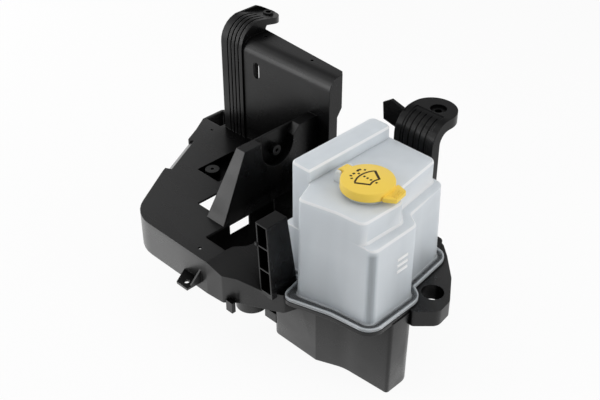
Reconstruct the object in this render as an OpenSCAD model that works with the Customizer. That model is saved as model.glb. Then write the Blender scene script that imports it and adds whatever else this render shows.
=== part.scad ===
// Washer fluid reservoir: translucent tank half welded on a black carrier with a sump, a deck and hook arms.
// Lengths are in millimetres. The carrier's ear bore, at the ear's top face, is the origin, +Z up.
// Coordinates in the Hidden section are measured from the tank's front left corner at the weld plane.

/* [Tank] */
// Length of the tank's left side wall, front to back
tank_depth = 132; // [110:1:150]
// Width of the tank from its left wall to the front right corner
tank_width = 129.5; // [120:0.5:140]
// Height of the main top face above the weld plane
tank_h = 127; // [115:1:140]
// Height of the raised ridge above the main top face
ridge_rise = 15; // [8:1:25]
// Width of the raised ridge on the left
ridge_w = 27.5; // [20:0.5:30]
// Height of the ledge along the right side
ledge_z = 99; // [80:1:104]
// Height of the low shoulder on the left
shoulder_z = 59; // [40:1:70]
// How far the shoulder stands out from the left wall
shoulder_w = 11; // [6:1:14]
// Wall thickness of the tank
tank_wall = 2.4; // [1.6:0.1:3.2]
// Radius of the upright corners
tank_corner_r = 10; // [8:0.5:12]
// Radius of the rounded top edges
tank_edge_r = 3.5; // [3:0.5:6]
// Width of the weld flange outside the wall
flange_w = 8.5; // [6:0.5:11]
// Thickness of the tank's weld flange
flange_t = 2.8; // [2.5:0.1:5]
// Height of the raised rim along the flange's edge
flange_rim_h = 1.2; // [0.8:0.1:2]
// Width of the raised rim
flange_rim_w = 1.6; // [1.2:0.1:3]

/* [Filler] */
// Filler centre, from the tank's front left corner to the right
filler_x = 37.6; // [34:0.2:42]
// Filler centre, from the tank's front left corner to the back
filler_y = 59; // [55:0.5:64]
// Inner radius of the filler neck
neck_r = 21.4; // [18:0.1:23]
// Wall of the filler neck
neck_wall = 2.1; // [1.6:0.1:2.6]
// Height of the filler neck above the top face
neck_h = 12.6; // [11:0.1:18]
// Radius of the hinge bar beside the neck
bar_r = 2; // [1.6:0.1:2.2]
// Clear width between the two lugs of the hinge bar
lug_gap = 15; // [13:0.5:18]
// Thickness of a lug
lug_t = 2.6; // [2:0.1:3.5]

/* [Cap] */
// Outer radius of the filler cap
cap_r = 28.5; // [28:0.1:30]
// Thickness of the cap's top
cap_top_t = 3; // [2.2:0.1:4]
// Depth of the cap's skirt below its top face
cap_skirt_h = 10; // [8:0.5:11]
// Wall of the cap's skirt
cap_wall = 2.2; // [1.6:0.1:2.6]
// Rounding of the cap's top edge
cap_edge = 2.4; // [1.5:0.1:2.8]
// Depth of the plug ring below the cap's inner face
plug_h = 8; // [6:0.5:10]
// Length of the pull tab beyond the cap's edge
tab_len = 11; // [8:0.5:12]
// Width of the pull tab at its root
tab_w = 29; // [22:0.5:32]
// Thickness of the pull tab
tab_t = 4.5; // [3:0.1:6]
// Height of the grip ridges on the pull tab
grip_h = 0.6; // [0.3:0.1:1]
// Turn of the pull tab about the cap's centre, in degrees
tab_turn = 9; // [0:1:12]
// Width of the hinge hook
hook_w = 12; // [10:0.5:12.5]
// Wall of the hinge hook
hook_wall = 2.2; // [1.8:0.1:2.4]

/* [Sump] */
// Depth of the sump's floor below the weld plane
sump_depth = 105; // [80:1:115]
// Wall of the carrier moulding
carrier_wall = 2.5; // [2:0.1:3]
// Thickness of the carrier's weld flange
seat_t = 5; // [4:0.5:6]
// Radius of the pump port in the sump's left wall
port_r = 11; // [9:0.1:13]
// Radius of the grommet's bore, for the pump's inlet
grommet_bore_r = 6; // [5:0.1:7]
// Height of the pump port above the sump's floor
port_rise = 22; // [18:1:30]

/* [Deck] */
// Height of the deck above the weld plane
deck_z = 20; // [16:1:24]
// Height of the skirt round the deck
skirt_h = 45; // [40:1:50]
// Radius of the skirt's big front left corner
deck_corner_r = 48; // [35:1:55]
// Height of the web's top above the deck
web_h = 84; // [75:1:95]
// Width of the wedge at the deck
wedge_w = 29; // [24:1:32]
// Width of the wedge at its top
wedge_top_w = 14; // [12:0.5:16]
// Radius of the round socket under the ramp, inside
socket_r = 16; // [13:0.5:18]
// Depth of the socket's mouth below the weld plane
socket_depth = 56; // [45:1:60]
// Radius of the screw boss in the deck's recess
boss_r = 9; // [7:0.5:10]
// Depth of the recess round that boss
recess_d = 12; // [8:0.5:14]
// Radius of the screw boss in the web's pocket
web_boss_r = 6.5; // [5:0.5:8]
// Radius of the pilot holes in the screw bosses
pilot_r = 2.2; // [1.8:0.1:2.6]
// Radius of the small locating holes
peg_r = 2; // [1.5:0.1:2.5]

/* [Upright] */
// Height of the upright channel above the weld plane
upright_h = 93; // [80:1:100]
// Wall of the upright channel
upright_wall = 2; // [1.6:0.1:2.4]

/* [Panel] */
// Width of the tall panel with its arm
panel_w = 186; // [170:1:190]
// Height of the tall panel's top above the weld plane
panel_z = 158; // [145:1:165]
// Radius of the panel's rolled top edge
panel_roll_r = 17; // [12:0.5:20]
// Depth of the stiffening ribs behind the panel
panel_rib_d = 16; // [8:1:20]

/* [Left arm] */
// Width of the left hook arm
left_arm_w = 38; // [34:0.5:40]
// Height of the left hook arm's bend above the weld plane
left_arm_z = 174.5; // [170:0.5:180]
// Radius of the left arm's bend
left_bend_r = 30; // [26:0.5:32]
// Fall of the left arm's top face towards its end, in degrees
left_fall = 11; // [0:1:14]
// Height of the lip along the left arm's outer edge
left_lip_h = 5.5; // [2:0.5:6]
// Edge depth of the left arm
left_arm_t = 8; // [6:0.5:10]
// Radius of the fixing hole in the left arm
left_hole_r = 3.5; // [3:0.1:4]
// Depth of the grooves in both arms
groove_d = 1.6; // [1:0.1:2]
// Width of a groove
groove_w = 2; // [1.4:0.1:2.6]

/* [Rear arm] */
// Width of the rear hook arm
rear_arm_w = 54; // [48:0.5:56]
// Height of the rear hook arm's top face above the weld plane
rear_arm_z = 151; // [146:1:160]
// Radius of the rear arm's bend
rear_bend_r = 27; // [22:0.5:30]
// Edge depth of the rear arm
rear_arm_t = 13; // [10:0.5:14]
// Radius of the recess round the rear fixing hole
rear_recess_r = 9.5; // [8:0.1:10]
// Depth of that recess
rear_recess_d = 3; // [2:0.1:3.5]
// Radius of the fixing hole in the rear arm
rear_hole_r = 4; // [3:0.1:5]

/* [Ear and tab] */
// Radius of the ear's bore
ear_r = 12.5; // [10:0.1:14]
// Depth of the ear's side walls
ear_h = 20; // [16:0.5:22]
// Thickness of the ear's top plate
ear_t = 4; // [3:0.5:5]
// Radius of the hole in the skirt's tab
skirt_tab_r = 3.2; // [2.6:0.1:4]
// Thickness of the skirt's tab
skirt_tab_t = 3; // [2:0.5:4]

/* [Clearances] */
// Radial play of the hook on the hinge bar
hinge_play = 0.08; // [0.05:0.01:0.1]
// Gap between faces of the cap and the neck
cap_gap = 0.3; // [0.2:0.05:0.5]
// Gap between the tank's weld flange and what stands round it
flange_gap = 0.5; // [0.3:0.1:0.8]
// Play of the grommet's collars on the sump's wall, each side
seal_gap = 0.5; // [0.4:0.1:0.7]

/* [Hidden] */
$fn = 48;
// Overrun of cutting tools past the faces they cut
over = 1;
// Number of straight pieces in each rounded corner of an outline
arc_n = 6;
// Smallest corner radius that an outline keeps
min_r = 0.4;

// Fixing ear: its bore centre and top face give the origin
ear_pos = [94.4, 108.3, -1.5];
// Hinge bar beside the neck, parallel to Y, and the round ends of its lugs
bar_pos = [filler_x - cap_r - bar_r - hook_wall + 0.4, filler_y, tank_h + neck_h - 1.6];
lug_r = bar_r + 1.6;
lug_foot = 11;
cap_inner_z = tank_h + neck_h + cap_gap;
cap_top_z = cap_inner_z + cap_top_t;

// Tank outline at the weld plane, as corners [x, y, radius], counter-clockwise from the front left
left_wall = -42.5;
ridge_right = left_wall + ridge_w;
right_front = left_wall + tank_width;
back_wall = 28 + tank_depth;
tank_low = [
    [-3.5, -3, 6], [42, 9, 60], [right_front, 15, tank_corner_r],
    [right_front - 1, 83, tank_corner_r], [right_front - 17, 92, 8],
    [right_front - 25, back_wall, tank_corner_r],
    [left_wall - shoulder_w, back_wall, 8], [left_wall - shoulder_w, 28, 7], [ridge_right + 1, 28, 4]];
// The same corners at the top: the right side steps in and the low shoulder is gone
ledge_w = 13;
tank_high = [
    [-3.5, 0, 6], [42, 11, 60], [right_front - ledge_w - 1, 13.5, 9],
    [right_front - ledge_w + 1, 70, 9], [right_front - 29, 88, 9],
    [right_front - 25 - ledge_w, back_wall - 3, tank_corner_r],
    [left_wall, back_wall - 3, 8], [left_wall, 28.5, 7], [ridge_right, 28.5, 4]];
// Ridge on the left, standing slightly proud of the walls below it
proud = 0.5;
ridge = [
    [left_wall - proud, 28.5 - proud, 7], [ridge_right, 28.5 - proud, 2],
    [ridge_right, back_wall - 3 - proud, 6], [left_wall - proud, back_wall - 3 - proud, 7]];
// Three raised level marks on the right wall: lowest one's place, size and pitch
mark_pos = [right_front - 1.8, 54, 51];
mark_size = [1.7, 16, 2.4];
mark_pitch = 7.8;
// Extra width of the weld flange at the front left corner, and of the carrier's flange all round
flange_lobe = 3.5;
seat_margin = 0.8;

// Sump outline at its floor: a crease in the front wall, a sharp right front edge
sump_left = left_wall - 22.5;
sump_back = back_wall - 20;
sump_cut = 62;
sump = [
    [sump_left, 21, 8], [4, 21, 2], [35, 34, 50], [right_front + 9, 38.5, 4], [right_front + 9, 70, 16],
    [right_front - sump_cut, sump_back, 14], [sump_left, sump_back, 10]];
sump_edge = 1.6;
port = [sump_left, 60, port_rise - sump_depth];
// Cup beside the sump: its low corner and size; it runs into the sump's wall by the last value
pump_cup_pos = [sump_left - 15, 21.5, 15 - sump_depth];
pump_cup_size = [19, 16, 13];
pump_cup_root = 4.5;

// Deck outline: front edge, big round corner, slanted left side, back edge and the inner side round the pit
skirt_bottom = deck_z - skirt_h;
deck_front = -48;
deck_back = back_wall + 27;
panel_y = back_wall;
panel_right = -112;
panel_left = panel_right - panel_w;
deck_left = panel_left - 37;
deck_right = -97;
web_x = -132;
pit_back = 88;
pit_right = left_wall - shoulder_w - flange_w - 1.2;
bevel_in = [63, 15];
bevel_from = [deck_left + bevel_in[0], 31];
bevel_to = [deck_left + bevel_in[1], 126];
bevel_w = 9;
bevel_ends = [9, 26];
corner_in = 110;
deck = [
    [deck_right, deck_front, min_r], [deck_right, -19, 3], [web_x, -19, 2], [web_x, pit_back, 2],
    [pit_right, pit_back, 2], [pit_right, panel_y + 4, 4], [panel_right, panel_y + 4, 2],
    [panel_right, deck_back, 4], [deck_left, deck_back, 4], [deck_left, 151, 5], [bevel_to.x, bevel_to.y, 8],
    [bevel_from.x, bevel_from.y, 8], [deck_left + corner_in, deck_front, deck_corner_r]];
recess = [[-245, 65, 2], [-205, 65, 2], [-205, 125, 2], [-245, 125, 2]];
deck_boss = [-234, 80];
deck_pegs = [[deck_left + 31, 140], [-121, -36]];
// Cable hole and corner hole of the deck, and the window in the web's foot: [from, size]
cable_hole = [[-189, 18], [26, 42]];
corner_hole = [[deck_left + 4, 154], [28, 29]];
window = [[18, skirt_bottom + 27], [31, skirt_h - carrier_wall - 27]];
// Apron below the skirt at the pit's left side: from and to along Y, depth
apron = [30, pit_back, 13];
// Ramp from the deck down to the weld flange, in plan
ramp_foot = -36;
ramp = [
    [deck_right - 1, deck_front, min_r], [-74, -46, 3], [-62, -35, 12], [-14, -11, 6], [-6, 12, 4],
    [-56, 40, 4], [-84, 40, 10], [-90, 5, 12], [-97, -8, 8], [deck_right - 1, -19, min_r]];
socket_pos = [-78, 0];
// Rib from the socket to the sump: start from the socket's centre, length, turn, and gaps below and above
socket_rib_from = [10, 9];
socket_rib_len = 24;
socket_rib_turn = 48;
socket_rib_gaps = [12, 2];
skirt_tab_pos = [-117, deck_front - 13];
// Skirt tab: rise above the skirt's lower edge, reach, widths at root and tip, height of its gusset
skirt_tab_rise = 11;
skirt_tab_reach = 21;
skirt_tab_w = [30, 18];
skirt_tab_gusset = 18;
foot_block = [[-69, deck_front + 2, skirt_bottom - 7], [10, 5, 14]];

// Upright channel in plan at its foot, [left front, right back], and how much it tapers on the right, at the
// front and at the back; its snap nose
upright_foot = [[-39, -22], [-20.5, 16]];
upright_taper = [1.5, 4, 13];
snap_nose = [[-41.5, -26, upright_h * 2 / 3], [3.5, 8, 4]];

// Web: slanted front of the wedge, flat top and round-bottomed pocket
web_top = deck_z + web_h;
wedge_foot_y = 7;
wedge_top_y = 45;
pocket_r = 25;
pocket_pos = [96, web_top - 14];
pocket_deep = wedge_top_w - carrier_wall;
pocket_chamfer = 10;

// Ear in plan, wall of its sleeve, and the plate behind the tank that carries the rear arm
ear = [
    [60, 75, 3], [100, 68, 6], [120, 88, 12], [117, 110, 10], [94, 142, 8], [66, 170, 10], [40, 192, 8],
    [36, 160, 3]];
sleeve_t = 3;
rear_plate = [[30, 150, 4], [66, 150, 4], [44, 190, 8], [-24, 190, 8], [-30, 150, 4]];

// Hook arms: centre line, front face, centre of the round end and fixing hole; skin and edge widths
left_arm_x = panel_left + left_arm_w / 2;
left_arm_y = panel_y - 2;
left_arm_end = panel_y + 54.5;
left_hole = [left_arm_x + 3, left_arm_end + 5];
left_hole_rim = 1.5;
left_ring_w = 3;
// Lip of the left arm: width, root, start, rise and full height behind the bend, and its fall before the end
lip_w = 3;
lip_root = 2;
lip_at = [-6, 14, 29, 9];
// Rear edge of the gusset beside the left arm, from the end of the panel's top flange, and its foot
gusset_edge = [[-5, -1], [-6, 3], [-4, 6], [1, 9]];
gusset_drop = 20;
rear_arm_x = 5;
rear_arm_y = back_wall + 10;
rear_arm_end = back_wall + 43;
rear_hole = [rear_arm_x + 3, rear_arm_end + 5];
// Each arm's front face, height, bend radius and fall of its top face
left_line = [left_arm_y, left_arm_z, left_bend_r, left_fall];
rear_line = [rear_arm_y, rear_arm_z, rear_bend_r, 0];
arm_skin = 4.5;
arm_edge = 4;
groove_stop = 12;
// First groove from each arm's left edge, and the left arm's pitch
left_groove_from = 12;
left_groove_pitch = 6.5;
rear_groove_from = 12;
// Sunk field of the rear arm: rim beside it, depth and end
rear_rim = 8;
rear_field_d = 0.8;
rear_field_stop = 5;
// Fin beside the rear arm, from the arm's left edge and top
fin = [[2, -32], [2, -2], [-17, 3], [-29, -5], [-27, -26]];
fin_y = rear_arm_y + 16;
fin_t = 3;

// Panel: how far its top flange reaches back, its cut corner, slot, locating holes, ribs and the end cap
flange_back = [27.5, 45.5];
flange_cut = 6;
slot_pos = [panel_left + 62, 125];
slot_r = 5;
slot_half = 6;
panel_pegs = [[panel_left + 50, panel_y + 28], [panel_right - 50, panel_y + 22]];
panel_ribs = [panel_left + 46, panel_left + 120];
end_cap = [[50, 118], [24, 118], [14, 104]];

// Unit vector along v
function unit(v) = v / norm(v);
// Left normal of v
function left_of(v) = [-v.y, v.x];
// Corner i of a closed corner list, as a point
function pt(c, i) = let (k = (i + len(c)) % len(c)) [c[k][0], c[k][1]];
// Normals of the two sides that meet at corner i
function normal_in(c, i) = left_of(unit(pt(c, i) - pt(c, i - 1)));
function normal_out(c, i) = left_of(unit(pt(c, i + 1) - pt(c, i)));
// Vector from corner i to the meeting point of its two sides moved left by one unit
function mitre(c, i) = let (a = normal_in(c, i), b = normal_out(c, i)) (a + b) / (1 + a * b);
// Sense of the turn at corner i: 1 is to the left, -1 to the right
function turn(c, i) = let (a = normal_in(c, i), b = normal_out(c, i)) a.x * b.y - a.y * b.x < 0 ? -1 : 1;
// Corner list with every side moved inwards by d
function inset(c, d) = [for (i = [0 : len(c) - 1])
    let (q = pt(c, i) + d * mitre(c, i)) [q.x, q.y, max(min_r, c[i][2] - turn(c, i) * d)]];
// Points of an outline with its corners rounded
function outline(c) = [for (i = [0 : len(c) - 1])
    let (s = turn(c, i), r = c[i][2], o = pt(c, i) + s * r * mitre(c, i),
         a = -s * normal_in(c, i), b = -s * normal_out(c, i),
         start = atan2(a.y, a.x), sweep = s * acos(min(1, a * b)))
    for (k = [0 : arc_n]) o + r * [cos(start + sweep * k / arc_n), sin(start + sweep * k / arc_n)]];
// Ring of points of an outline at height z
function ring(c, d, z) = [for (p = outline(inset(c, d))) [p.x, p.y, z]];
// Rings of an edge rounded by radius r, from height z - r to z
function round_top(c, d, z, r) = [for (a = [0 : 22.5 : 90])
    ring(c, d + r * (1 - cos(a)), z - r * (1 - sin(a)))];
// Mean of a ring's points
function sum(r, k, i = 0) = i == len(r) ? 0 : r[i][k] + sum(r, k, i + 1);
function middle(r) = [for (k = [0 : 2]) sum(r, k) / len(r)];
// List in the opposite order
function backwards(v) = [for (i = [len(v) - 1 : -1 : 0]) v[i]];
// Corners of the weld flange's edge: an even margin, fuller at the front left corner
function flange_edge(grow) = let (c = inset(tank_low, -flange_w - grow))
    [for (i = [0 : len(c) - 1]) c[i] + (i == 0 ? [-flange_lobe, -flange_lobe, -4] : [0, 0, 0])];

// Solid through a stack of rings with equal counts of points, lowest first
module loft(rings) {
    n = len(rings[0]);
    m = len(rings);
    low = [for (i = [0 : n - 1]) [m * n, i, (i + 1) % n]];
    high = [for (i = [0 : n - 1]) [m * n + 1, (m - 1) * n + (i + 1) % n, (m - 1) * n + i]];
    sides = [for (k = [0 : m - 2], i = [0 : n - 1])
        let (j = (i + 1) % n, a = k * n, b = a + n) each [[a + i, b + i, b + j], [a + i, b + j, a + j]]];
    points = concat([for (r = rings) each r], [middle(rings[0]), middle(rings[m - 1])]);
    polyhedron(points, concat(low, sides, high), convexity = 6);
}

// Upright prism of a rounded outline
module prism(c, z0, z1) {
    translate([0, 0, z0]) linear_extrude(z1 - z0) polygon(outline(c));
}

// Upright cylinder at a plan position
module post(p, r, z0, z1) {
    translate([p.x, p.y, z0]) cylinder(r = r, h = z1 - z0);
}

// Extrusion along X of a profile drawn in Y and Z
module along_x(x0, x1) {
    translate([x0, 0, 0]) rotate([90, 0, 90]) linear_extrude(x1 - x0) children();
}

// Extrusion along Y of a profile drawn in X and Z
module along_y(y0, y1) {
    translate([0, y1, 0]) rotate([90, 0, 0]) linear_extrude(y1 - y0) children();
}

// Moves a finished piece so that the ear's bore becomes the origin
module placed() {
    translate(-ear_pos) children();
}

// Outer form of the tank, grown inwards by d for its cavity
module tank_form(d) {
    e = tank_edge_r;
    step = [for (a = [0 : 30 : 90]) [e * (1 - cos(a)), e * (1 - sin(a))]];
    // Corners at height z, part of the way from tank_low to tank_high: s for the shoulder's two, t for the
    // right side's four, and an even draft for the others
    function share(i, s, t, z) = i == 6 || i == 7 ? s : i == 5 ? max(t, z / tank_h / 4)
        : i > 1 && i < 5 ? t : z / tank_h;
    function between(s, t, z) = [for (i = [0 : len(tank_low) - 1])
        tank_low[i] + share(i, s, t, z) * (tank_high[i] - tank_low[i])];
    loft(concat(
        [ring(tank_low, d, d > 0 ? -over : 0)],
        [for (p = step) ring(between(p[0] / shoulder_w, 0, shoulder_z), d, shoulder_z - p[1] - d)],
        [ring(between(1, 0, shoulder_z), d, shoulder_z + over - d)],
        [for (p = step) ring(between(1, p[0] / ledge_w, ledge_z), d, ledge_z - p[1] - d)],
        [ring(between(1, 0.85, ledge_z), d, ledge_z + over - d)],
        [ring(between(1, 1, ledge_z + 4), d, ledge_z + 4 - d)],
        round_top(tank_high, d, tank_h - d, e)));
    loft(concat([ring(ridge, d, shoulder_z + 6 - d)], round_top(ridge, d, tank_h + ridge_rise - d, e)));
}

// Lug of the hinge bar, centred on Y
module lug() {
    z0 = tank_h - tank_wall;
    along_y(-lug_t / 2, lug_t / 2) {
        polygon([[-lug_foot / 2, z0], [lug_foot / 2, z0], [lug_r, bar_pos.z], [-lug_r, bar_pos.z]]);
        translate([0, bar_pos.z]) circle(r = lug_r);
    }
}

// Translucent upper half of the tank
module tank_upper() {
    filler = [filler_x, filler_y];
    rim_z = flange_t + flange_rim_h;
    color([0.86, 0.88, 0.89, 0.8]) placed() difference() {
        union() {
            tank_form(0);
            prism(flange_edge(0), 0, flange_t);
            difference() {
                prism(flange_edge(0), 0, rim_z);
                prism(flange_edge(-flange_rim_w), -over, rim_z + over);
            }
            for (k = [0 : 2])
                translate(mark_pos + [0, 0, mark_pitch * k]) cube(mark_size);
            post(filler, neck_r + neck_wall, tank_h - tank_wall, tank_h + neck_h);
            for (s = [-1, 1])
                translate([bar_pos.x, filler_y + s * (lug_gap + lug_t) / 2, 0]) lug();
            along_y(filler_y - (lug_gap + lug_t) / 2, filler_y + (lug_gap + lug_t) / 2)
                translate([bar_pos.x, bar_pos.z]) circle(r = bar_r);
        }
        tank_form(tank_wall);
        post(filler, neck_r, tank_h - 3 * tank_wall, tank_h + neck_h + over);
    }
}

// Half section of the cap: disc, skirt and tapered plug ring
module cap_section() {
    plug_r = neck_r - cap_gap;
    plug_wall = 2.2;
    lead = 1.4;
    skirt_z = cap_top_z - cap_skirt_h;
    polygon([
        [0, cap_inner_z], [plug_r - plug_wall, cap_inner_z], [plug_r - plug_wall, cap_inner_z - plug_h],
        [plug_r - lead, cap_inner_z - plug_h], [plug_r, cap_inner_z - lead], [plug_r, cap_inner_z],
        [cap_r - cap_wall, cap_inner_z], [cap_r - cap_wall, skirt_z], [cap_r, skirt_z],
        [cap_r, cap_top_z - cap_edge], [cap_r - 0.3 * cap_edge, cap_top_z - 0.3 * cap_edge],
        [cap_r - cap_edge, cap_top_z], [0, cap_top_z]]);
}

// Pull tab of the cap with its grip ridges, pointing along +X
module pull_tab() {
    end = cap_r + tab_len;
    half = tab_w / 2;
    side_in = 4.5;
    tip_in = 6;
    grip_pitch = 2.4;
    linear_extrude(tab_t) polygon([
        [cap_r - cap_wall, -half], [cap_r, -half], [end - 1, side_in - half], [end, tip_in - half],
        [end, half - tip_in], [end - 1, half - side_in], [cap_r, half], [cap_r - cap_wall, half]]);
    for (k = [1 : 3])
        translate([end - grip_pitch * k, -half / 2, tab_t - over]) cube([1, half, over + grip_h]);
}

// Yellow filler cap with its hinge hook
module filler_cap() {
    bore_r = bar_r + hinge_play;
    hook_r = bore_r + hook_wall;
    mouth = 1.6 * bar_r;
    color([0.95, 0.80, 0.24]) placed() difference() {
        union() {
            translate([filler_x, filler_y, 0]) rotate_extrude() cap_section();
            translate([filler_x, filler_y, cap_top_z - cap_skirt_h + 0.5]) rotate([0, 0, tab_turn])
                pull_tab();
            along_y(filler_y - hook_w / 2, filler_y + hook_w / 2) translate([bar_pos.x, bar_pos.z]) {
                circle(r = hook_r);
                translate([0, bore_r]) square([filler_x - cap_r + cap_wall + over - bar_pos.x, hook_wall]);
            }
        }
        along_y(filler_y - hook_w / 2 - over, filler_y + hook_w / 2 + over)
            translate([bar_pos.x, bar_pos.z]) {
                circle(r = bore_r);
                translate([-mouth / 2, -2 * hook_r]) square([mouth, 2 * hook_r]);
            }
    }
}

// Height of an arm's skin at a place y behind its bend
function arm_z(line, y) = line[1] - line[2] * (1 - cos(line[3]))
    - tan(line[3]) * (y - line[0] - line[2] * (1 + sin(line[3])));
// Skin line of a hook arm in Y and Z, moved inwards by d: up, round the bend and back
function arm_line(line, end, d) = let (r = line[2], turned = 90 + line[3]) concat(
    [[line[0] + d, -seat_t]],
    [for (k = [0 : 8]) let (a = turned * k / 8)
        [line[0] + r - (r - d) * cos(a), line[1] - r + (r - d) * sin(a)]],
    [[end, arm_z(line, end) - d / cos(line[3])]]);
// Closed band between two such lines
function arm_band(line, end, d0, d1) = concat(arm_line(line, end, d0), backwards(arm_line(line, end, d1)));

// Upright prism over an arm in plan, inset by d: straight sides and a round end
module arm_plan(x, w, end, d) {
    linear_extrude(2 * left_arm_z, center = true) {
        translate([x - w / 2 + d, 0]) square([w - 2 * d, end]);
        translate([x, end]) circle(r = w / 2 - d);
    }
}

// Hook arm of width w: skin, and an edge of depth t along its sides and round its end
module hook_arm(line, x, w, end, t) {
    intersection() {
        arm_plan(x, w, end, 0);
        union() {
            along_x(x - w, x + w) polygon(arm_band(line, end + w, 0, arm_skin));
            difference() {
                along_x(x - w, x + w) polygon(arm_band(line, end + w, 0, t));
                arm_plan(x, w, end, arm_edge);
            }
        }
    }
}

// Grooves that run up an arm and over its bend
module arm_grooves(places, line, end) {
    for (gx = places)
        along_x(gx - groove_w / 2, gx + groove_w / 2) polygon(arm_band(line, end, -over, groove_d));
}

// Lip that rises along the left arm's outer edge, from the bend round the end
module left_lip() {
    from = left_arm_y + left_bend_r;
    far = left_arm_end + left_arm_w / 2;
    function above(y, h) = [y, arm_z(left_line, y) + h];
    intersection() {
        difference() {
            arm_plan(left_arm_x, left_arm_w, left_arm_end, 0);
            arm_plan(left_arm_x, left_arm_w, left_arm_end, lip_w);
        }
        along_x(left_arm_x - left_arm_w, left_arm_x) polygon([
            above(from + lip_at[0], -lip_root), above(from + lip_at[1], 0.6 * left_lip_h),
            above(from + lip_at[2], left_lip_h), above(far - lip_at[3], 0.7 * left_lip_h),
            above(far + over, 0), above(far + over, -lip_root), above(from + lip_at[1], -lip_root)]);
    }
}

// Gusset between the left arm's inner edge and the panel's top flange
module left_gusset() {
    right = left_arm_x + left_arm_w / 2;
    back = panel_y + flange_back[1];
    intersection() {
        along_x(right - arm_edge, right) polygon(concat(arm_line(left_line, left_arm_end, over),
            [[left_arm_end, 0]]));
        along_x(right - arm_edge, right) polygon(concat(
            [[left_arm_y, panel_z - gusset_drop]], [for (p = gusset_edge) [back + p.x, panel_z + p.y]],
            [[back + over, 2 * panel_z], [left_arm_y, 2 * panel_z]]));
    }
}

// Left hook arm with its smooth side band, lip, gusset and ringed fixing hole
module left_arm() {
    first = left_arm_x - left_arm_w / 2 + left_groove_from;
    ring_r = left_hole_r + left_ring_w;
    rim_z = arm_z(left_line, left_hole.y - ring_r) + left_hole_rim;
    low_z = arm_z(left_line, left_hole.y + ring_r) - left_arm_t;
    difference() {
        union() {
            hook_arm(left_line, left_arm_x, left_arm_w, left_arm_end, left_arm_t);
            left_lip();
            left_gusset();
            post(left_hole, ring_r, low_z, rim_z);
        }
        arm_grooves([for (k = [0 : 3]) first + left_groove_pitch * k], left_line, left_arm_end - groove_stop);
        post(left_hole, left_hole_r, low_z - over, rim_z + over);
    }
}

// Rear hook arm with its recessed fixing hole and side fin
module rear_arm() {
    pitch = (rear_arm_w - 2 * rear_groove_from) / 4;
    left_edge = rear_arm_x - rear_arm_w / 2;
    difference() {
        union() {
            hook_arm(rear_line, rear_arm_x, rear_arm_w, rear_arm_end, rear_arm_t);
            post(rear_hole, rear_recess_r + carrier_wall, rear_arm_z - rear_arm_t, rear_arm_z);
            along_y(fin_y - fin_t, fin_y) translate([left_edge, rear_arm_z]) polygon(fin);
        }
        along_x(left_edge + rear_rim, left_edge + rear_arm_w - rear_rim)
            polygon(arm_band(rear_line, rear_arm_end - rear_field_stop, -over, rear_field_d));
        arm_grooves([for (k = [0 : 4]) left_edge + rear_groove_from + pitch * k],
            rear_line, rear_arm_end - groove_stop);
        post(rear_hole, rear_recess_r, rear_arm_z - rear_recess_d, rear_arm_z + over);
        post(rear_hole, rear_hole_r, rear_arm_z - rear_arm_t - over, rear_arm_z);
    }
}

// Line of the panel's face in Y and Z, moved inwards by d: up, round the roll and back
function roll_line(d) = concat([[panel_y + d, deck_z - carrier_wall]],
    [for (a = [0 : 11.25 : 90])
        [panel_y + panel_roll_r - (panel_roll_r - d) * cos(a),
         panel_z - panel_roll_r + (panel_roll_r - d) * sin(a)]],
    [[panel_y + end_cap[0].x, panel_z - d]]);

// Tall panel with a rolled top edge, ribs behind, a slot, small holes and an end cap
module panel() {
    w = carrier_wall;
    z0 = deck_z - w;
    cap_steps = [for (p = end_cap) [panel_y + p.x, p.y]];
    rib = [[panel_y + over, z0], [panel_y + over, panel_z - over], [panel_y + panel_rib_d, panel_z - over],
        [panel_y + panel_rib_d, z0]];
    difference() {
        intersection() {
            union() {
                along_x(panel_left, panel_right) polygon(concat(roll_line(0), backwards(roll_line(w))));
                along_x(panel_right - w, panel_right)
                    polygon(concat(roll_line(0), cap_steps, [[panel_y + end_cap[2].x, z0]]));
                intersection() {
                    for (x = panel_ribs)
                        along_x(x, x + w) polygon(rib);
                    along_x(panel_left, panel_right)
                        polygon(concat(roll_line(0), [[panel_y + end_cap[0].x, z0]]));
                }
            }
            linear_extrude(2 * panel_z) polygon([[panel_left - over, 0], [panel_right + over, 0],
                [panel_right + over, panel_y + flange_back[0] - flange_cut - over],
                [panel_right - flange_cut, panel_y + flange_back[0]],
                [panel_left - over, panel_y + flange_back[1]]]);
        }
        along_y(panel_y - over, panel_y + w + over) translate(slot_pos) {
            for (s = [-1, 1])
                translate([0, s * slot_half]) circle(r = slot_r);
            square([2 * slot_r, 2 * slot_half], center = true);
        }
        for (p = panel_pegs)
            post(p, peg_r, panel_z - w - over, panel_z + over);
    }
}

// Side profile of the web, inset by d
function web_profile(d) = let (z0 = deck_z - carrier_wall - over)
    [[wedge_foot_y + 1.1 * d, z0], [wedge_top_y + 0.8 * d, web_top - d],
     [panel_y + over - d, web_top - d], [panel_y + over - d, z0]];

// Body of the web with its slanted left face, inset by d
module web_body(d) {
    left_face = [[web_x - wedge_w + d, deck_z], [web_x - wedge_top_w + d, web_top]];
    lean = left_face[1] - left_face[0];
    intersection() {
        along_x(web_x - wedge_w - 5, web_x - d) polygon(web_profile(d));
        along_y(0, panel_y + 2 * over)
            polygon([left_face[0] - lean / 10, [web_x, deck_z - lean.y / 10],
                [web_x, web_top + lean.y / 10], left_face[1] + lean / 10]);
    }
}

// Pocket in the web's right face, open above, with a chamfered back edge
module web_pocket(grow) {
    r = pocket_r + grow;
    y1 = pocket_pos[0] + r;
    along_x(web_x - pocket_deep - grow, web_x + over) {
        translate(pocket_pos) circle(r = r);
        translate(pocket_pos - [r, 0]) square([2 * r, web_h / 2]);
        polygon([[y1 - over, web_top - pocket_chamfer - over], [y1 + pocket_chamfer, web_top],
            [y1 + pocket_chamfer, web_top + over], [y1 - over, web_top + over]]);
    }
}

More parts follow.
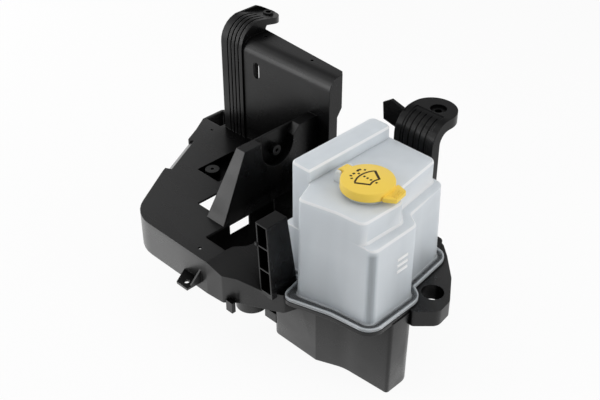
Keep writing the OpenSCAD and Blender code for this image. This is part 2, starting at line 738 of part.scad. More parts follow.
// Screw boss in the web's pocket
module web_boss() {
    boss_h = 9;
    floor_t = 2;
    translate([web_x - wedge_top_w + over, pocket_pos[0] + 2, pocket_pos[1] - 8]) rotate([0, 90, 0])
        difference() {
            cylinder(r = web_boss_r, h = boss_h);
            translate([0, 0, floor_t]) cylinder(r = pilot_r, h = boss_h);
        }
}

// Web with its pocket, hollow and open below, cut into the deck it stands on
module web_on() {
    difference() {
        union() {
            children();
            web_body(0);
        }
        difference() {
            web_body(carrier_wall);
            web_pocket(carrier_wall);
        }
        web_pocket(0);
    }
    web_boss();
}

// Extrusion along the slanted left edge of the deck, of a profile drawn outwards and up
module on_bevel() {
    run = bevel_to - bevel_from;
    translate([bevel_from.x, bevel_from.y, 0]) rotate([0, 0, atan2(run.y, run.x)])
        along_x(bevel_ends[0], norm(run) - bevel_ends[1]) children();
}

// Deck with skirt, open below, with the recess and its boss
module deck_tray() {
    w = carrier_wall;
    floor_z = deck_z - recess_d;
    difference() {
        union() {
            difference() {
                prism(deck, skirt_bottom, deck_z);
                prism(inset(deck, w), skirt_bottom - over, deck_z - w);
            }
            on_bevel() translate([-bevel_w - 3, deck_z - bevel_w - 3]) square([bevel_w + 3 - w, bevel_w + 2]);
        }
        on_bevel() polygon([[-bevel_w, deck_z], [over, deck_z - bevel_w], [over, deck_z + over],
            [-bevel_w, deck_z + over]]);
        prism(recess, floor_z, deck_z + over);
        for (h = [cable_hole, corner_hole])
            translate([h[0].x, h[0].y, 0]) cube([h[1].x, h[1].y, 2 * deck_z]);
        for (p = deck_pegs)
            post(p, peg_r, 0, 2 * deck_z);
        along_x(web_x - 20, web_x + 20) translate(window[0]) square(window[1]);
    }
    difference() {
        prism(inset(recess, -w), floor_z - w, deck_z - over / 2);
        prism(recess, floor_z, deck_z + over);
    }
    translate([web_x - w, apron[0], skirt_bottom - apron[2]]) cube([w, apron[1] - apron[0], apron[2] + over]);
    difference() {
        post(deck_boss, boss_r, floor_z - w, deck_z - over);
        post(deck_boss, pilot_r, floor_z, deck_z);
    }
}

// Ramp, open below
module ramp_shell() {
    left = deck_right - 13;
    right = 40;
    low = -60;
    function slope(d) = [[left, deck_z - d], [deck_right, deck_z - d], [ramp_foot, -d], [right, -d],
        [right, low], [left, low]];
    difference() {
        intersection() {
            prism(ramp, skirt_bottom, deck_z);
            along_y(deck_front - over, pit_back) polygon(slope(0));
        }
        intersection() {
            prism(inset(ramp, carrier_wall), skirt_bottom - over, deck_z);
            along_y(deck_front - over, pit_back) polygon(slope(carrier_wall));
        }
        prism(flange_edge(flange_gap), 0, deck_z);
    }
}

// Round socket under the ramp, closed above, tied to the sump by a rib
module socket() {
    post(socket_pos, socket_r + carrier_wall, -socket_depth, 0);
    from = socket_pos + socket_rib_from;
    translate([from.x, from.y, socket_rib_gaps[0] - socket_depth]) rotate([0, 0, socket_rib_turn])
        cube([socket_rib_len, carrier_wall, socket_depth - socket_rib_gaps[0] - socket_rib_gaps[1]]);
}

// Ring of the upright channel at height z; grow is the inset of its walls
function upright_ring(z, grow) = let (t = z / upright_h, front = grow > 0 ? 4 : 0,
    x0 = upright_foot[0].x + grow, x1 = upright_foot[1].x - upright_taper[0] * t - grow,
    y0 = upright_foot[0].y - upright_taper[1] * t - front,
    y1 = upright_foot[1].y - upright_taper[2] * t - grow)
    [[x0, y0, z], [x1, y0, z], [x1, y1, z], [x0, y1, z]];

// Upright channel, open to the front, with two ribs and a snap nose
module upright() {
    difference() {
        loft([upright_ring(-4, 0), upright_ring(upright_h, 0)]);
        difference() {
            loft([upright_ring(2, upright_wall), upright_ring(upright_h - upright_wall, upright_wall)]);
            for (z = [upright_h / 3, upright_h * 2 / 3])
                loft([upright_ring(z, -over), upright_ring(z + upright_wall, -over)]);
        }
        prism(flange_edge(flange_gap), 0, flange_t + flange_rim_h + flange_gap);
    }
    translate(snap_nose[0]) cube(snap_nose[1]);
}

// Fixing ear, open below, with its sleeve
module fixing_ear() {
    top = ear_pos.z;
    difference() {
        prism(ear, top - ear_h, top);
        prism(inset(ear, carrier_wall), top - ear_h - over, top - ear_t);
    }
    post(ear_pos, ear_r + sleeve_t, top - ear_h, top);
}

// Tab on the front skirt with its gusset
module skirt_tab() {
    z = skirt_bottom + skirt_tab_rise;
    right = skirt_tab_pos.x + 10;
    root = deck_front + over;
    tip = deck_front - skirt_tab_reach;
    translate([0, 0, z]) linear_extrude(skirt_tab_t)
        polygon([[right - skirt_tab_w[0], root], [right, root], [right, tip], [right - skirt_tab_w[1], tip]]);
    along_x(right - carrier_wall, right) polygon([[root, z], [root, z + skirt_tab_gusset], [tip + 3, z]]);
}

// Floor plate and weld flange under the tank
module seat() {
    difference() {
        prism(flange_edge(seat_margin), -seat_t, 0);
        prism(inset(tank_low, tank_wall), carrier_wall - seat_t, over);
    }
    prism(rear_plate, -seat_t, -flange_gap);
}

// Outer form of the sump, with a rounded floor edge
module sump_body() {
    z = -sump_depth;
    loft([ring(sump, sump_edge, z), ring(sump, 0.3 * sump_edge, z + 0.3 * sump_edge),
        ring(sump, 0, z + sump_edge), ring(sump, -1, over - seat_t)]);
}

// Space inside the sump, with a mouth into the tank where the two outlines overlap
module sump_cavity() {
    w = carrier_wall;
    z = w - sump_depth;
    roof = -seat_t - w;
    loft([ring(sump, w + sump_edge, z), ring(sump, w, z + 2 * sump_edge), ring(sump, w - 1, roof)]);
    intersection() {
        prism(inset(sump, w), roof - over, over);
        prism(inset(tank_low, tank_wall), roof - over, over);
    }
}

// Open cup beside the sump that steadies the pump's foot
module pump_cup() {
    w = carrier_wall;
    difference() {
        translate(pump_cup_pos) cube(pump_cup_size);
        translate(pump_cup_pos + [w, w, w])
            cube([pump_cup_size.x - pump_cup_root - w, pump_cup_size.y - 2 * w, pump_cup_size.z]);
    }
}

// Black carrier, moulded in one piece
module carrier() {
    color([0.09, 0.09, 0.10]) placed() difference() {
        union() {
            web_on() deck_tray();
            ramp_shell();
            socket();
            upright();
            panel();
            left_arm();
            rear_arm();
            fixing_ear();
            skirt_tab();
            translate(foot_block[0]) cube(foot_block[1]);
            seat();
            sump_body();
            pump_cup();
        }
        sump_cavity();
        translate(port) rotate([0, 90, 0]) cylinder(r = port_r, h = 8 * carrier_wall, center = true);
        post(ear_pos, ear_r, -sump_depth, over);
        post(skirt_tab_pos, skirt_tab_r, skirt_bottom, 0);
        post(socket_pos, socket_r, -socket_depth - over, -carrier_wall);
    }
}

// Rubber grommet in the pump port: two collars with a groove for the wall
module pump_grommet() {
    collar = 3;
    inner = -carrier_wall - seal_gap;
    outer = seal_gap;
    color([0.13, 0.13, 0.13]) placed() translate(port) rotate([0, -90, 0]) rotate_extrude() polygon([
        [grommet_bore_r, inner - collar], [port_r + 2, inner - collar], [port_r + 2, inner], [port_r, inner],
        [port_r, outer], [port_r + collar, outer], [port_r + collar, outer + collar],
        [grommet_bore_r, outer + collar]]);
}

carrier();
tank_upper();
filler_cap();
pump_grommet();
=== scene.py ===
"""Studio picture of a screen washer reservoir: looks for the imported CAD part."""

import math

import bmesh
import bpy
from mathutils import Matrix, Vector


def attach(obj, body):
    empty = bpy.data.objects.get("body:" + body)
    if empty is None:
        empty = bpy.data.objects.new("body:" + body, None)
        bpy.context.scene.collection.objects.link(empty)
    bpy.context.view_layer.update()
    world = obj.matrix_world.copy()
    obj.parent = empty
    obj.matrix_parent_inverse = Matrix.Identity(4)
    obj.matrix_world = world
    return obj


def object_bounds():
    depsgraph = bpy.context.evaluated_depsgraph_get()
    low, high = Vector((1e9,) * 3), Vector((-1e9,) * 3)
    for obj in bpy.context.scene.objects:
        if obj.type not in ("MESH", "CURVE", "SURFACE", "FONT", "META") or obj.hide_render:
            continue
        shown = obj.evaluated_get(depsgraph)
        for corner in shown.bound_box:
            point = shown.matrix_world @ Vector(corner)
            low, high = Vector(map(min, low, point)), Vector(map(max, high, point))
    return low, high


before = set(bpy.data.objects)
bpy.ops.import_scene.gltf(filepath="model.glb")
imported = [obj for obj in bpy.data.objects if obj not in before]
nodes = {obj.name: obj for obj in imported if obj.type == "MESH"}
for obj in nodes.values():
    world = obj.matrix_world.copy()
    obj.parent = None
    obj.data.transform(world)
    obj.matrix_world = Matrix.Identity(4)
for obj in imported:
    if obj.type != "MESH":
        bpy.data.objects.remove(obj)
box_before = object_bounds()
scene = bpy.context.scene

# Places and lengths are in metres in the part's frame, where no other unit is named.
# The looks change over spans, written as a pair of numbers: spans with X, Y or Z in their name go by place,
# those with UP, FACE or FILLET by the normal, those with OPEN by how open the spot is. FULL is a mask's span.
MM = 0.001
FULL = (0.0, 1.0)

# Shading of the CAD meshes: points this close are welded, and edges above this angle in degrees are sharp
WELD_GAP = 2e-6
SHARP_ANGLE = 33.0

# Moulded plastic: slow changes of its roughness (scale along each axis, and how far down and up),
# the part of a noise that they use, and the depth of the grain
ROUGH_SCALES = (14.0, 45.0, 30.0)
ROUGH_DOWN, ROUGH_UP = 0.06, 0.08
NOISE_SPAN = (0.3, 0.7)
GRAIN_DEPTH = 0.0002

# Carrier, skirt: painted sheen, as its raised mirror share and the paler grey of its sides
SKIRT_GLOSS = 1.0
SKIRT_SHEEN_GREY = (0.06, 0.06, 0.06, 1.0)
SKIRT_X, SKIRT_Z = (-0.24, -0.14), (0.015, 0.035)
SIDE_UP = (0.2, 0.5)
# Carrier, painted shade on the sheen: part of the mirror share left on faces that look up, on those that look
# right and on the right side
TOP_GLOSS, RIGHT_GLOSS = 0.22, 0.68
TOP_UP, RIGHT_FACE, RIGHT_X = (0.6, 0.95), (0.8, 0.95), (-0.075, -0.035)
# The least of it on top of the ear
EAR_GLOSS = 0.48
EAR_X = (-0.045, -0.020)
# The same part high up, on the left arm, on the panel and on the rear arm, also painted shade on the sheen
ARM_GLOSS, PANEL_GLOSS, REAR_GLOSS = 0.55, 0.74, 0.38
HIGH_Z, ARM_X, REAR_X = (0.05, 0.11), (-0.365, -0.345), (-0.16, -0.12)
# Carrier, painted shade in hollows up to this size and on the left wall of the pit: black, with this part of
# the mirror share
HOLLOW_REACH = 0.18
HOLLOW_OPEN = (0.43, 0.86)
HOLLOW_GLOSS = 0.02
PAINTED_HOLLOW_SHADE = (0.0015, 0.0015, 0.0015, 1.0)
PIT_START, PIT_END, PIT_Z = (-0.236, -0.230), (-0.222, -0.216), (0.018, 0.021)

# Tank: roughness, mirror share, grain (scale, strength, radius of softened edges)
# and the tint of the light let through
TANK_ROUGH, TANK_GLOSS = 0.34, 0.5
TANK_GRAIN = 900.0, 0.05, 0.0012
TANK_TINT = (0.93, 0.96, 0.98, 1.0)
# Share of light that goes straight through one face: foot of the walls, upper walls, weld flange
CLEAR_LOW, CLEAR_HIGH, CLEAR_FLANGE = 0.54, 0.18, 0.87
WALL_Z, FLANGE_Z, FLAT_UP = (0.006, 0.075), (0.0048, 0.0051), (0.7, 0.8)
# The same share in the upright front right corner, below the ledge
CLEAR_CORNER = 0.63
CORNER_X, CORNER_Y, CORNER_Z = (-0.0165, -0.0125), (-0.0885, -0.0845), (0.092, 0.099)
# Part of the share left on the walls beside that corner and on the low shoulder on the left
CLEAR_BESIDE, CLEAR_SHOULDER = 0.40, 0.35
BESIDE_X, BESIDE_Y, SHOULDER_X = (-0.062, -0.022), (-0.088, -0.050), (-0.136, -0.130)
# Clouds in the walls: scale along each axis, and how much share they take at most and give at most
CLOUD_SCALES = (26.0, 26.0, 7.0)
CLOUD_TAKE, CLOUD_GIVE = 0.05, 0.06
# Edges: radius that finds them, how far the normal bends there, and the part of the share left on them
EDGE_RADIUS = 0.0045
EDGE_BEND = (0.90, 0.995)
CLEAR_EDGE = 0.2
# Painted highlight, white on the fillets under the tops and on the level marks: the fillets' foot and head by
# the rise of the normal, the white, and the part of the share left on the fillets and on the level marks
FILLET_FOOT, FILLET_HEAD = (0.12, 0.35), (0.80, 0.93)
HIGHLIGHT_WHITE = (0.98, 0.98, 0.98, 1.0)
CLEAR_WHITE = 0.05
# Painted shade in creases of this size: darker, down to this part of the colour
CREASE_REACH = 0.004
CREASE_OPEN = (0.5, 0.9)
CREASE_SHADE = 0.68
# Level marks on the right wall: nearest face, ends, foot of the lowest, height, pitch, count and softness
MARK_X, MARK_ENDS = -0.0095, (-0.0546, -0.0380)
MARK_Z, MARK_H, MARK_PITCH = 0.0519, 0.0036, 0.0078
MARKS = 3
SOFT = 0.0002

# Sign on the cap, in millimetres from the cap's centre: widths of lines and dots,
# and foot and head of the print
CAP_CENTRE = Vector((-56.8, -49.3, 144.4)) * MM
SIGN_LINE, SIGN_DOT = 2.0, 2.7
SIGN_Z = -0.05, 0.06
# Its fan: one end of the wide arc and of the narrow arc, their middles, and their steps
FAN_WIDE, FAN_NARROW = (-4.2, 15.3), (9.2, 6.8)
WIDE_MIDDLE, NARROW_MIDDLE = (-9.3, 0.0), (7.4, 0.0)
WIDE_STEPS, NARROW_STEPS = 18, 10
# Its jet of dashes, with half a dash, and its spray
JET_X = (11.3, 3.9, -0.6, -5.0, -12.6)
JET_HALF = 1.1
SPRAY = (
    ((-16.4, 1.6), (-17.2, 4.4), (-16.1, 7.4)),
    ((-13.7, 8.9), (-11.8, 9.9)),
    ((-15.6, -2.2), (-16.6, -5.0)),
    ((-16.3, -7.4), (-14.9, -9.6)),
    ((-12.7, -11.0), (-10.8, -12.0)),
)

# Studio: gap below the part, size and grey of the floor, and how near it is to plain white as a background
FLOOR_GAP = 0.0005
FLOOR_SIZE = 12.0
FLOOR_GREY = (0.86, 0.86, 0.86, 1.0)
FLOOR_WHITE = 0.93
# Surroundings: their colour, and the strength of their light on the part
WHITE = (1.0, 1.0, 1.0, 1.0)
WORLD_STRENGTH = 0.24
# Lamps: place, point they are turned to, size and power in watts
LAMPS = {
    "key": ((-0.25, -0.15, 1.35), (-0.15, -0.05, 0.0), 1.3, 5.6),
    "right": ((1.1, 0.25, 0.7), (-0.1, 0.0, 0.05), 0.8, 9.0),
    "front_left": ((-1.2, -1.5, 0.25), (-0.2, -0.05, 0.0), 0.9, 6.0),
    "roll": ((-0.95, -1.05, 0.75), (-0.2, -0.05, 0.0), 0.9, 2.6),
    "left": ((-1.5, -0.1, 0.5), (-0.2, 0.0, 0.0), 0.9, 6.0),
}
# Camera of the photograph: lens and sensor in millimetres, place, and turn in degrees
LENS, SENSOR = 60.0, 36.0
CAMERA_PLACE = (0.4848, -0.6875, 0.7021)
CAMERA_TURN = (55.0, 0.0, 45.0)
CLIP_NEAR, CLIP_FAR = 0.05, 50.0

# Places of the two values and of the result among a mix node's sockets
MIX_SOCKETS = {"FLOAT": (2, 3, 0), "RGBA": (6, 7, 2)}


class Shader:
    """Node tree of a material or a world, with short calls for the nodes used here."""

    def __init__(self, owner, output):
        owner.use_nodes = True
        self.nodes = owner.node_tree.nodes
        self.link = owner.node_tree.links.new
        self.nodes.clear()
        self.out = self.add(output)

    def add(self, kind, **values):
        """New node of a kind, with its properties (lower case) and input sockets (capitals) set."""
        node = self.nodes.new("ShaderNode" + kind)
        for key, value in values.items():
            if key[0].isupper():
                node.inputs[key.replace("_", " ")].default_value = value
            else:
                setattr(node, key, value)
        return node

    def fill(self, socket, value):
        """Feed an input from another socket, or set it to a fixed value."""
        if isinstance(value, bpy.types.NodeSocket):
            self.link(value, socket)
        else:
            socket.default_value = value

    def chained(self, operation, first, *others):
        """Values joined one after another by one operation."""
        for other in others:
            step = self.add("Math", operation=operation)
            self.link(first, step.inputs[0])
            self.link(other, step.inputs[1])
            first = step.outputs["Value"]
        return first

    def product(self, *values):
        """Product of values."""
        return self.chained("MULTIPLY", *values)

    def larger(self, *values):
        """Largest of several values."""
        return self.chained("MAXIMUM", *values)

    def smaller(self, *values):
        """Smallest of several values."""
        return self.chained("MINIMUM", *values)

    def ranged(self, value, span, first, last):
        """Value mapped from a span to the range from first to last, held at its ends."""
        fit = self.add("MapRange", From_Min=span[0], From_Max=span[1], To_Min=first, To_Max=last)
        self.link(value, fit.inputs["Value"])
        return fit.outputs["Result"]

    def rising(self, value, span):
        """0 before a span, 1 after it."""
        return self.ranged(value, span, 0.0, 1.0)

    def falling(self, value, span):
        """1 before a span, 0 after it."""
        return self.ranged(value, span, 1.0, 0.0)

    def mixed(self, share, first, second, kind="FLOAT"):
        """Blend of two numbers or colours by a share; each is a socket or a fixed value."""
        mix = self.add("Mix", data_type=kind)
        first_at, second_at, result_at = MIX_SOCKETS[kind]
        self.link(share, mix.inputs["Factor"])
        self.fill(mix.inputs[first_at], first)
        self.fill(mix.inputs[second_at], second)
        return mix.outputs[result_at]

    def axes(self, vector):
        """X, Y and Z values of a vector."""
        parts = self.add("SeparateXYZ")
        self.link(vector, parts.inputs["Vector"])
        return parts.outputs["X"], parts.outputs["Y"], parts.outputs["Z"]

    def place(self):
        """Coordinates in the frame, as X, Y and Z values."""
        return self.axes(self.add("TexCoord").outputs["Object"])

    def facing(self, normal="Normal"):
        """Shaded or true normal, as X, Y and Z values."""
        return self.axes(self.add("NewGeometry").outputs[normal])

    def varied(self, scales, low, high):
        """Slow noise between two values, with a scale along each axis."""
        where = self.add("TexCoord")
        spread = self.add("VectorMath", operation="MULTIPLY")
        spread.inputs[1].default_value = scales
        noise = self.add("TexNoise", Scale=1.0, Detail=2.0)
        self.link(where.outputs["Object"], spread.inputs[0])
        self.link(spread.outputs["Vector"], noise.inputs["Vector"])
        return self.ranged(noise.outputs["Fac"], NOISE_SPAN, low, high)

    def grain(self, scale, strength, radius):
        """Normal with softened edges of that radius and a fine moulding grain."""
        where = self.add("TexCoord")
        noise = self.add("TexNoise", Scale=scale, Detail=3.0, Roughness=0.6)
        edge = self.add("Bevel", samples=6, Radius=radius)
        bump = self.add("Bump", Strength=strength, Distance=GRAIN_DEPTH)
        self.link(where.outputs["Object"], noise.inputs["Vector"])
        self.link(noise.outputs["Fac"], bump.inputs["Height"])
        self.link(edge.outputs["Normal"], bump.inputs["Normal"])
        return bump.outputs["Normal"]

    def background_ray(self):
        """1 on the rays that show the background as it is: from the camera, mirrored or let through."""
        rays = self.add("LightPath").outputs
        return self.larger(rays["Is Camera Ray"], rays["Is Glossy Ray"], rays["Is Transmission Ray"])

    def layered(self, share, first, second):
        """Node that mixes the surfaces of two nodes by a share."""
        mix = self.add("MixShader")
        self.fill(mix.inputs["Fac"], share)
        self.link(first.outputs[0], mix.inputs[1])
        self.link(second.outputs[0], mix.inputs[2])
        return mix

    def show(self, surface):
        """Use a node's surface as the result."""
        self.link(surface.outputs[0], self.out.inputs["Surface"])


def material(name):
    """New material and its shader."""
    mat = bpy.data.materials.new(name)
    return mat, Shader(mat, "OutputMaterial")


def carrier_sheen(s, p, colour, specular):
    """Colour and sheen of the carrier, with painted light: painted shade makes it black in its hollows and
    takes sheen off on top, high up and on the right; a painted sheen is best on the sides of the skirt.
    """
    x, _, z = s.place()
    right, _, up = s.facing()

    # Painted shade: hollows that ambient occlusion finds, and the left wall of the pit, lose their sheen and
    # go black
    hollow = s.add("AmbientOcclusion", samples=6, only_local=True, Distance=HOLLOW_REACH)
    pit_wall = s.product(s.rising(x, PIT_START), s.falling(x, PIT_END), s.falling(z, PIT_Z),
                         s.rising(right, RIGHT_FACE))
    open_share = s.smaller(s.ranged(hollow.outputs["AO"], HOLLOW_OPEN, HOLLOW_GLOSS, 1.0),
                           s.ranged(pit_wall, FULL, 1.0, HOLLOW_GLOSS))

    # Painted sheen: the skirt gets a larger mirror share
    skirt = s.product(s.falling(x, SKIRT_X), s.falling(z, SKIRT_Z))
    painted_skirt_sheen = s.ranged(skirt, FULL, specular, SKIRT_GLOSS)
    # Painted shade on the sheen: less mirror share high up, on faces that look up or right, and on the right
    # side
    high = s.smaller(s.ranged(x, ARM_X, ARM_GLOSS, PANEL_GLOSS),
                     s.ranged(x, REAR_X, PANEL_GLOSS, REAR_GLOSS))
    height = s.mixed(s.rising(z, HIGH_Z), 1.0, high)
    top = s.larger(s.ranged(up, TOP_UP, 1.0, TOP_GLOSS), s.ranged(x, EAR_X, 0.0, EAR_GLOSS))
    shaded_gloss = s.smaller(top, s.ranged(x, RIGHT_X, 1.0, RIGHT_GLOSS),
                     s.ranged(right, RIGHT_FACE, 1.0, RIGHT_GLOSS))
    s.link(s.product(open_share, painted_skirt_sheen, height, shaded_gloss), p.inputs["Specular IOR Level"])

    # Painted sheen: the sides of the skirt get a paler grey
    skirt_side = s.product(skirt, s.falling(up, SIDE_UP))
    paler = s.mixed(skirt_side, (*colour, 1.0), SKIRT_SHEEN_GREY, "RGBA")
    # Painted shade: the colour goes black in the hollows and on the pit's wall
    s.link(s.mixed(open_share, PAINTED_HOLLOW_SHADE, paler, "RGBA"), p.inputs["Base Color"])


def plastic(name, colour, rough, specular=0.5, grain=(1400.0, 0.06), edge=0.0007, local=None):
    """Opaque moulded plastic, with its grain's scale and strength and the radius of its softened edges.

    local, where given, varies its colour and sheen from place to place.
    """
    mat, s = material(name)
    p = s.add("BsdfPrincipled", Base_Color=(*colour, 1.0), Specular_IOR_Level=specular)
    if local:
        local(s, p, colour, specular)
    s.link(s.varied(ROUGH_SCALES, rough - ROUGH_DOWN, rough + ROUGH_UP), p.inputs["Roughness"])
    s.link(s.grain(*grain, edge), p.inputs["Normal"])
    s.show(p)
    return mat


def level_marks(s, x, y, z):
    """1 on the raised level marks of the tank's right wall."""
    bands = []
    for k in range(MARKS):
        foot = MARK_Z + k * MARK_PITCH
        head = foot + MARK_H
        bands.append(s.product(s.rising(z, (foot - SOFT, foot)), s.falling(z, (head, head + SOFT))))
    near, far = MARK_ENDS
    return s.product(s.larger(*bands), s.rising(x, (MARK_X, MARK_X + SOFT)),
                     s.rising(y, (near, near + SOFT)), s.falling(y, (far - SOFT, far)))


def clear_share(s, x, y, z):
    """Share of light that goes straight through a face of the tank, by its place."""
    # The walls are clouded and whiter towards the front right corner, which is clear itself up to the ledge
    beside = s.larger(s.ranged(x, BESIDE_X, 1.0, CLEAR_BESIDE), s.ranged(y, BESIDE_Y, CLEAR_BESIDE, 1.0))
    clouded = s.add("Math", operation="ADD", use_clamp=True)
    s.link(s.product(s.ranged(z, WALL_Z, CLEAR_LOW, CLEAR_HIGH), beside), clouded.inputs[0])
    s.link(s.varied(CLOUD_SCALES, -CLOUD_TAKE, CLOUD_GIVE), clouded.inputs[1])
    corner = s.product(s.rising(x, CORNER_X), s.falling(y, CORNER_Y), s.falling(z, CORNER_Z))
    walls = s.mixed(corner, clouded.outputs["Value"], CLEAR_CORNER)
    # The low shoulder on the left is whiter
    walls = s.product(walls, s.ranged(x, SHOULDER_X, CLEAR_SHOULDER, 1.0))
    _, _, true_up = s.facing("True Normal")
    flange = s.product(s.rising(true_up, FLAT_UP), s.falling(z, FLANGE_Z))
    return s.mixed(flange, walls, CLEAR_FLANGE)


def milky(name, colour, through):
    """Translucent moulded plastic: clearest on the weld flange and low down, whitest along its edges, with a
    painted highlight on its fillets and level marks and painted shade in its creases.
    """
    mat, s = material(name)
    p = s.add("BsdfPrincipled", Base_Color=(*colour, 1.0), Roughness=TANK_ROUGH,
              Specular_IOR_Level=TANK_GLOSS)
    s.link(s.grain(*TANK_GRAIN), p.inputs["Normal"])
    back = s.add("BsdfTranslucent", Color=(*colour, 1.0))
    see = s.add("BsdfTransparent", Color=TANK_TINT)
    x, y, z = s.place()
    _, _, up = s.facing()
    face = s.add("NewGeometry")

    round_off = s.add("Bevel", samples=8, Radius=EDGE_RADIUS)
    bend = s.add("VectorMath", operation="DOT_PRODUCT")
    s.link(round_off.outputs["Normal"], bend.inputs[0])
    s.link(face.outputs["Normal"], bend.inputs[1])
    edge_off = s.ranged(bend.outputs["Value"], EDGE_BEND, CLEAR_EDGE, 1.0)
    # Painted highlight: the fillets, found by the rise of the normal, and the level marks are white and let
    # little light through
    fillet = s.product(s.rising(up, FILLET_FOOT), s.falling(up, FILLET_HEAD))
    marks = level_marks(s, x, y, z)
    white = s.larger(fillet, marks)
    clear = s.product(clear_share(s, x, y, z), edge_off, s.ranged(white, FULL, 1.0, CLEAR_WHITE))

    # Painted shade: creases show as thin darker lines, but not from inside and not along the marks
    crease = s.add("AmbientOcclusion", samples=6, only_local=True, Distance=CREASE_REACH)
    dark = s.larger(s.ranged(crease.outputs["AO"], CREASE_OPEN, CREASE_SHADE, 1.0),
                    face.outputs["Backfacing"], marks)
    shade = s.add("VectorMath", operation="SCALE")
    s.link(s.mixed(white, (*colour, 1.0), HIGHLIGHT_WHITE, "RGBA"), shade.inputs[0])
    s.link(dark, shade.inputs["Scale"])
    s.link(shade.outputs["Vector"], p.inputs["Base Color"])
    s.link(shade.outputs["Vector"], back.inputs["Color"])

    # Painted highlight: the level marks take no translucent share, so they stay bright
    glow = s.layered(s.ranged(marks, FULL, through, 0.0), p, back)
    s.show(s.layered(clear, glow, see))
    return mat


def smooth_by_angle():
    """Node group that welds seams and shades smooth, with sharp edges above an angle."""
    g = bpy.data.node_groups.new("smooth_by_angle", "GeometryNodeTree")
    g.interface.new_socket("Geometry", in_out="INPUT", socket_type="NodeSocketGeometry")
    g.interface.new_socket("Geometry", in_out="OUTPUT", socket_type="NodeSocketGeometry")
    n, link = g.nodes, g.links.new
    start = n.new("NodeGroupInput")
    end = n.new("NodeGroupOutput")
    weld = n.new("GeometryNodeMergeByDistance")
    weld.inputs["Distance"].default_value = WELD_GAP
    faces = n.new("GeometryNodeSetShadeSmooth")
    edges = n.new("GeometryNodeSetShadeSmooth")
    edges.domain = "EDGE"
    edges.inputs["Shade Smooth"].default_value = False
    angle = n.new("GeometryNodeInputMeshEdgeAngle")
    sharp = n.new("FunctionNodeCompare")
    sharp.operation = "GREATER_THAN"
    sharp.inputs[1].default_value = math.radians(SHARP_ANGLE)
    link(start.outputs[0], weld.inputs["Geometry"])
    link(weld.outputs["Geometry"], faces.inputs["Geometry"])
    link(faces.outputs["Geometry"], edges.inputs["Geometry"])
    link(angle.outputs["Unsigned Angle"], sharp.inputs[0])
    link(sharp.outputs["Result"], edges.inputs["Selection"])
    link(edges.outputs["Geometry"], end.inputs[0])
    return g


def ribbon(bm, path, width, closed=False):
    """Flat band of a width along a path of points in the plan, as high as the sign's print."""
    z0, z1 = SIGN_Z
    pts = [Vector(p) for p in path]
    count = len(pts)
    sides = []
    for i, p in enumerate(pts):
        before = pts[i - 1] if closed or i else p
        after = pts[(i + 1) % count] if closed or i < count - 1 else p
        d = (after - before).normalized()
        u = (p - before).normalized() if before != p else d
        v = (after - p).normalized() if after != p else d
        # Wider at a bend, so that the band keeps its width, but at most twice
        spread = 1.0 / max(0.5, math.sqrt((1.0 + u.dot(v)) / 2.0))
        off = Vector((-d.y, d.x)) * width / 2.0 * spread
        sides.append((p + off, p - off))
    rows = []
    for a, b in sides:
        rows.append([bm.verts.new((q.x, q.y, z)) for q, z in ((a, z0), (b, z0), (b, z1), (a, z1))])
    for i in range(count if closed else count - 1):
        a, b = rows[i], rows[(i + 1) % count]
        for k in range(4):
            bm.faces.new((a[k], a[(k + 1) % 4], b[(k + 1) % 4], b[k]))
    if not closed:
        bm.faces.new(rows[0][::-1])
        bm.faces.new(rows[-1])


def arc(a, m, b, steps):
    """Points of the circle arc from a to b through m."""
    (ax, ay), (mx, my), (bx, by) = a, m, b
    d = 2 * (ax * (my - by) + mx * (by - ay) + bx * (ay - my))
    sa, sm, sb = ax * ax + ay * ay, mx * mx + my * my, bx * bx + by * by
    cx = (sa * (my - by) + sm * (by - ay) + sb * (ay - my)) / d
    cy = (sa * (bx - mx) + sm * (ax - bx) + sb * (mx - ax)) / d
    r = math.hypot(ax - cx, ay - cy)
    t0, tm, t1 = (math.atan2(y - cy, x - cx) % math.tau for x, y in (a, m, b))
    if not min(t0, t1) <= tm <= max(t0, t1):
        t0, t1 = (t0 + math.tau, t1) if t0 < t1 else (t0, t1 + math.tau)
    turns = [t0 + (t1 - t0) * k / steps for k in range(steps + 1)]
    return [(cx + r * math.cos(t), cy + r * math.sin(t)) for t in turns]


def across(point):
    """The point on the other side of the sign's axis."""
    return point[0], -point[1]


def cap_sign():
    """Printed windscreen-washer sign on the cap: fan outline, dotted jet and spray."""
    bm = bmesh.new()
    fan = arc(FAN_WIDE, WIDE_MIDDLE, across(FAN_WIDE), WIDE_STEPS)
    fan += arc(across(FAN_NARROW), NARROW_MIDDLE, FAN_NARROW, NARROW_STEPS)
    ribbon(bm, fan, SIGN_LINE, closed=True)
    for x in JET_X:
        ribbon(bm, [(x - JET_HALF, 0.0), (x + JET_HALF, 0.0)], SIGN_DOT)
    for dash in SPRAY:
        ribbon(bm, dash, SIGN_DOT)
    bmesh.ops.recalc_face_normals(bm, faces=bm.faces)
    mesh = bpy.data.meshes.new("cap_sign")
    bm.to_mesh(mesh)
    bm.free()
    for v in mesh.vertices:
        v.co = CAP_CENTRE + v.co * MM
    obj = bpy.data.objects.new("cap_sign", mesh)
    scene.collection.objects.link(obj)
    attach(obj, "cap")
    return obj


def studio_floor():
    """Pale floor: near white to the eye, with the part's faint shadow."""
    floor_z = box_before[0].z - FLOOR_GAP
    bpy.ops.mesh.primitive_plane_add(size=FLOOR_SIZE, location=(0.0, 0.0, floor_z))
    floor = bpy.context.object
    floor.name = "floor"
    mat, s = material("floor")
    plain = s.add("BsdfDiffuse", Color=FLOOR_GREY)
    white = s.add("Emission", Strength=1.0)
    pale = s.layered(FLOOR_WHITE, plain, white)
    s.show(s.layered(s.background_ray(), plain, pale))
    floor.data.materials.append(mat)


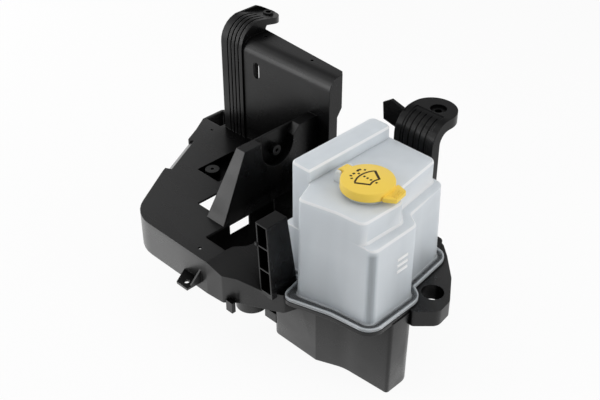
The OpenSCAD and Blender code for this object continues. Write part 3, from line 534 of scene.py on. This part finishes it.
def softbox(name, position, aim, size, power):
    """Square area lamp at a position, turned to a point."""
    data = bpy.data.lights.new(name, "AREA")
    data.shape = "SQUARE"
    data.size = size
    data.energy = power
    lamp = bpy.data.objects.new(name, data)
    lamp.location = position
    lamp.rotation_euler = (Vector(aim) - Vector(position)).to_track_quat("-Z", "Y").to_euler()
    scene.collection.objects.link(lamp)


def world_light():
    """Even white surroundings, plain white as a background."""
    world = bpy.data.worlds.new("studio")
    s = Shader(world, "OutputWorld")
    glow = s.add("Background", Color=WHITE, Strength=WORLD_STRENGTH)
    white = s.add("Background", Color=WHITE, Strength=1.0)
    s.show(s.layered(s.background_ray(), glow, white))
    scene.world = world


def camera():
    """Camera of the photograph."""
    data = bpy.data.cameras.new("camera")
    data.lens = LENS
    data.sensor_width = SENSOR
    data.clip_start = CLIP_NEAR
    data.clip_end = CLIP_FAR
    cam = bpy.data.objects.new("camera", data)
    cam.location = CAMERA_PLACE
    cam.rotation_euler = [math.radians(turn) for turn in CAMERA_TURN]
    scene.collection.objects.link(cam)
    scene.camera = cam


LOOKS = {
    "carrier": plastic("carrier", (0.005, 0.005, 0.0053), rough=0.28, specular=0.52, edge=0.0012,
                       local=carrier_sheen),
    "tank_upper": milky("tank", (0.865, 0.895, 0.92), through=0.32),
    "filler_cap": plastic("cap", (0.95, 0.67, 0.095), rough=0.42, specular=0.38, grain=(1100.0, 0.05),
                          edge=0.0009),
    "pump_grommet": plastic("seal", (0.02, 0.02, 0.02), rough=0.75, grain=(2000.0, 0.1)),
}
shading = smooth_by_angle()
for name, look in LOOKS.items():
    mesh = nodes[name].data
    mesh.materials.clear()
    mesh.materials.append(look)
    if "custom_normal" in mesh.attributes:
        mesh.attributes.remove(mesh.attributes["custom_normal"])
    nodes[name].modifiers.new("shading", "NODES").node_group = shading

cap_sign().data.materials.append(plastic("sign", (0.032, 0.018, 0.003), rough=0.6, specular=0.2))

studio_floor()
world_light()
for name, setting in LAMPS.items():
    softbox(name, *setting)
camera()
scene.view_settings.view_transform = "Standard"
